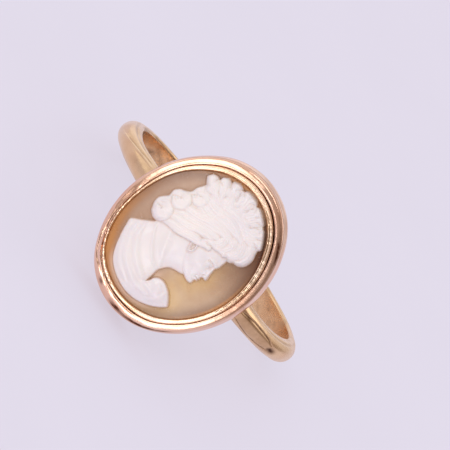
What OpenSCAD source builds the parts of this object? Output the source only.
// A finger ring with an oval shell cameo in a bezel, lying on its side on a flat surface.
// The ring is drawn upright first: X across the finger, Y along the finger, Z out through the cameo.
// The last step lays it down, so that +Z is up and the surface that it rests on is z = 0.

/* [Shank] */
// Inside diameter of the shank, where the finger goes
finger_d = 17.3; // [15:0.1:21]
// Width of the shank, along the finger
shank_w = 1.85; // [1.6:0.05:2.6]
// Thickness of the shank, from the finger to its crown
shank_t = 1.24; // [1.1:0.02:1.5]
// Radius on the two inner edges of the shank
edge_r = 0.2; // [0.1:0.05:0.3]

/* [Bezel] */
// Length of the rim, along the finger
rim_length = 13.2; // [12:0.1:15]
// Width of the rim, across the finger
rim_width = 11; // [10:0.1:11.8]
// Radius of the two ends of the rim
rim_end_r = 4.8; // [4.4:0.05:5]
// Height of the bezel, from its foot to the middle of the lip
bezel_h = 2.52; // [2.4:0.05:3]
// Thickness of the closed back plate
back_t = 0.45; // [0.3:0.05:0.6]
// How far the foot stands out past the rim
foot_out = 0.12; // [0:0.02:0.3]
// How far the waist of the wall lies in from the rim
waist_in = 0.1; // [0:0.02:0.2]
// Radius of the rounded outer collar
collar_r = 0.34; // [0.28:0.02:0.4]
// Radius of the burnished inner lip
lip_r = 0.15; // [0.1:0.01:0.18]

/* [Head on the shank] */
// Gap between the finger hole and the bezel's foot
head_gap = 0.5; // [0.3:0.05:0.8]
// Lean of the head along the finger, as the ring was bent in wear
head_lean = 2.2; // [0:0.1:4]
// Turn of the head about its own middle
head_twist = 1.3; // [0:0.1:3]

/* [Cameo] */
// Slope of the shell's edge where the lip holds it
edge_slope = 50; // [40:1:60]
// Clearance between the shell and its seat
seat_gap = 0.05; // [0.03:0.01:0.1]
// Width of the shell's sloped edge under the lip
slope_w = 0.38; // [0.3:0.02:0.5]
// Rise of the ground from its edge to its middle
dome_h = 0.35; // [0.1:0.05:0.6]
// Height of the tallest carved form above the ground
carving_h = 0.8; // [0.5:0.05:1]

/* [Hidden] */
$fn = 96;

finger_r = finger_d / 2;
crown_r = shank_w / 2;
side_h = shank_t - crown_r;
wire_r = finger_r + side_h;

// The rim is an oval of four arcs. Its ends turn about (0, end_c) and its sides about (side_c, 0).
half_l = rim_length / 2;
half_w = rim_width / 2;
end_c = half_l - rim_end_r;
side_c = (pow(end_c, 2) - pow(half_w - rim_end_r, 2)) / (2 * (half_w - rim_end_r));
rim_side_r = half_w + side_c;
end_half = atan2(side_c, end_c);

// The bezel's section: offsets from the rim's outline, outwards positive, and heights from the foot.
foot_r = 0.2;
foot_q = foot_out - foot_r;
waist_z = bezel_h * 0.55;
collar_q = -collar_r;
collar_z = bezel_h - 0.28;
lip_q = -2 * collar_r - lip_r + 0.02;
seat_wall = 0.57;
seat_q = lip_q - lip_r * sin(edge_slope);
seat_z = bezel_h - lip_r * cos(edge_slope);
ledge_z = seat_z - (-seat_wall - seat_q) * tan(edge_slope);
plate_in = 0.3;
base_z = finger_r + head_gap;

// The shell: the girdle, the slope under the lip, and the face that shows.
girdle_q = -seat_wall - seat_gap;
girdle_z = ledge_z - seat_gap * (1 / cos(edge_slope) - tan(edge_slope));
face_q = girdle_q - slope_w;
face_z = girdle_z + slope_w * tan(edge_slope);
shell_z = back_t + seat_gap;

// How it lies: the surface touches the round of the foot and the half-round of the shank behind it.
foot_y = -(half_l + foot_q);
touch_z = base_z + foot_r * cos(head_lean) - foot_y * sin(head_lean);
touch_y = foot_y * cos(head_lean) + foot_r * sin(head_lean);
reach = norm([touch_z + wire_r, touch_y]);
rest_tilt = atan2(-touch_y, touch_z + wire_r) - asin((crown_r - foot_r) / reach);
rest_lift = crown_r + wire_r * sin(rest_tilt);
rear_y = wire_r * cos(rest_tilt) + crown_r;
head_tilt = rest_tilt + head_lean;
front_y = base_z * cos(rest_tilt) + collar_z * cos(head_tilt) + (half_l + collar_q) * sin(head_tilt) + collar_r;
rest_shift = (front_y - rear_y) / 2;

// The carved forms, along the finger and across it, measured from the cameo's middle.
MIDDLE_Y = 0; // place along the finger, the bust's own upright
MIDDLE_X = 1; // place across the finger, the way that the bust faces
LONG_R = 2;   // half-length
WIDE_R = 3;   // half-width
TURN = 4;     // turn of the half-length away from the upright, towards the face
HEIGHT = 5;   // height, as a share of the tallest form
forms = [
    [2.5, 0.1, 2.6, 2.9, 0, 1],         // crown of the head
    [2.9, 2.1, 1.7, 1.4, 20, 1],        // roll of hair over the brow
    [0.4, -2.7, 1.2, 1.2, 0, 0.95],     // knot of hair at the nape
    [1.6, -2.5, 1.1, 1.2, 0, 0.9],      // wave above the knot
    [3.5, -2, 1.6, 0.9, -35, 0.9],      // upright locks behind the crown
    [4.4, -0.9, 1.1, 0.8, -15, 0.9],    // second lock
    [0.8, 0.9, 2.1, 1.6, 10, 0.85],     // cheek and jaw
    [0.7, 2.35, 0.75, 0.5, -20, 0.65],  // nose
    [-0.7, 1.85, 0.5, 0.5, 0, 0.65],    // chin
    [-1.5, -0.5, 1.9, 1.3, 10, 0.75],   // neck
    [-3.2, -1.3, 1.6, 2.9, 0, 0.85],    // shoulder
    [-3.6, 0.9, 1.4, 2.1, -10, 0.85],   // breast
];
form_blend = 6;
form_edge = 0.7;
carve_rings = 26;
carve_steps = 112;

// Half-round wire, with small rounds on its inner edges
module shank_section() {
    translate([wire_r, 0]) circle(crown_r);
    translate([finger_r + edge_r, -crown_r]) square([wire_r - finger_r - edge_r, shank_w]);
    translate([finger_r, -crown_r + edge_r]) square([wire_r - finger_r, shank_w - 2 * edge_r]);
    for (side = [-1, 1])
        translate([finger_r + edge_r, side * (crown_r - edge_r)]) circle(edge_r);
}

module shank() {
    rotate([-90, 0, 0])
        rotate_extrude()
            intersection() {
                shank_section();
                translate([finger_r, -shank_w]) square([shank_t, 2 * shank_w]);
            }
}

// The rim's oval, grown by q
module oval(q) {
    joint_y = end_c + (rim_end_r + q) * cos(end_half);
    intersection() {
        translate([side_c, 0]) circle(rim_side_r + q);
        translate([-side_c, 0]) circle(rim_side_r + q);
        square([4 * half_w, 2 * joint_y], center = true);
    }
    for (end = [-1, 1])
        translate([0, end * end_c]) circle(rim_end_r + q);
}

// Carry a section round the ends and the sides of the rim: x is the offset from the outline and y the height
module round_the_ends() {
    for (turn = [0, 180]) rotate(turn)
        translate([0, end_c])
            rotate_extrude(angle = 2 * end_half, start = 90 - end_half)
                translate([rim_end_r, 0]) children();
}

module round_the_sides() {
    for (turn = [0, 180]) rotate(turn)
        translate([-side_c, 0])
            rotate_extrude(angle = 180 - 2 * end_half, start = end_half - 90)
                translate([rim_side_r, 0]) children();
}

module bezel_section() {
    polygon([
        [-seat_wall - plate_in, 0], [foot_q, 0], [foot_q, foot_r], [foot_out, foot_r],
        [-waist_in, waist_z], [-waist_in, collar_z], [collar_q, collar_z], [lip_q, bezel_h],
        [seat_q, seat_z], [-seat_wall, ledge_z], [-seat_wall, back_t], [-seat_wall - plate_in, back_t]
    ]);
    translate([foot_q, foot_r]) circle(foot_r);
    translate([collar_q, collar_z]) circle(collar_r);
    translate([lip_q, bezel_h]) circle(lip_r);
}

module bezel() {
    round_the_ends() bezel_section();
    linear_extrude(back_t) oval(-seat_wall);
    round_the_sides() bezel_section();
}

// Room for the shell above the back plate, which also cuts the shank's crown flush
module seat_room() {
    translate([0, 0, back_t]) linear_extrude(bezel_h) oval(-seat_wall - plate_in / 2);
}

// Puts the head on the shank, leaning and turned as it sits
module on_the_shank() {
    translate([0, 0, base_z]) rotate([-head_lean, 0, 0]) rotate([0, 0, -head_twist]) children();
}

// Lays the ring on its side, on the foot of its bezel and the back of its shank
module laid_down() {
    translate([0, rest_shift, rest_lift]) rotate([90 - rest_tilt, 0, 0]) children();
}

module ring_mount() {
    color("#d8a385") laid_down() {
        difference() {
            shank();
            on_the_shank() seat_room();
        }
        on_the_shank() bezel();
    }
}

// Point of the rim's oval, grown by q, where the outline faces the angle a from +X
function in_end(a) = abs(sin(a)) > cos(end_half);
function oval_point(a, q) =
    in_end(a) ? [0, sign(sin(a)) * end_c] + (rim_end_r + q) * [cos(a), sin(a)]
              : [-sign(cos(a)) * side_c, 0] + (rim_side_r + q) * [cos(a), sin(a)];

// Height of one carved form over the point p: a rounded mound with an oval foot
function mound(form, p) =
    let (
        away = [p.y - form[MIDDLE_Y], p.x - form[MIDDLE_X]],
        along = away[0] * cos(form[TURN]) + away[1] * sin(form[TURN]),
        across = away[1] * cos(form[TURN]) - away[0] * sin(form[TURN]),
        inside = 1 - pow(along / form[LONG_R], 2) - pow(across / form[WIDE_R], 2)
    )
    form[HEIGHT] * carving_h * pow(max(0, inside), form_edge);

function total(list, i = 0) = i == len(list) ? 0 : list[i] + total(list, i + 1);
function carving(p) =
    pow(total([for (form = forms) pow(mound(form, p), form_blend)]), 1 / form_blend);

// Points of one ring of the shell: level 0 to 2 is its edge, and share shrinks the face to its middle
function shell_edge(q, z) =
    [for (i = [0:carve_steps - 1]) let (p = oval_point(360 * i / carve_steps, q)) [p.x, p.y, z]];
function shell_face(share) =
    [for (i = [0:carve_steps - 1])
        let (p = share * oval_point(360 * i / carve_steps, face_q))
        [p.x, p.y, face_z + dome_h * (1 - share * share) + (share < 1 ? carving(p) : 0)]];

module cameo_shell() {
    rings = concat(
        [shell_edge(girdle_q, shell_z), shell_edge(girdle_q, girdle_z)],
        [for (k = [carve_rings:-1:1]) shell_face(k / carve_rings)]
    );
    count = len(rings);
    middle = [0, 0, face_z + dome_h + carving([0, 0])];
    points = concat([for (ring = rings) each ring], [middle, [0, 0, shell_z]]);
    top = count * carve_steps;
    faces = concat(
        [for (k = [0:count - 2], i = [0:carve_steps - 1])
            let (a = k * carve_steps + i, b = k * carve_steps + (i + 1) % carve_steps)
            each [[a, a + carve_steps, b], [b, a + carve_steps, b + carve_steps]]],
        [for (i = [0:carve_steps - 1]) [top, top - carve_steps + (i + 1) % carve_steps, top - carve_steps + i]],
        [for (i = [0:carve_steps - 1]) [top + 1, i, (i + 1) % carve_steps]]
    );
    polyhedron(points, faces);
}

module cameo() {
    color("#efe2dc") laid_down() on_the_shank() cameo_shell();
}

ring_mount();
cameo();
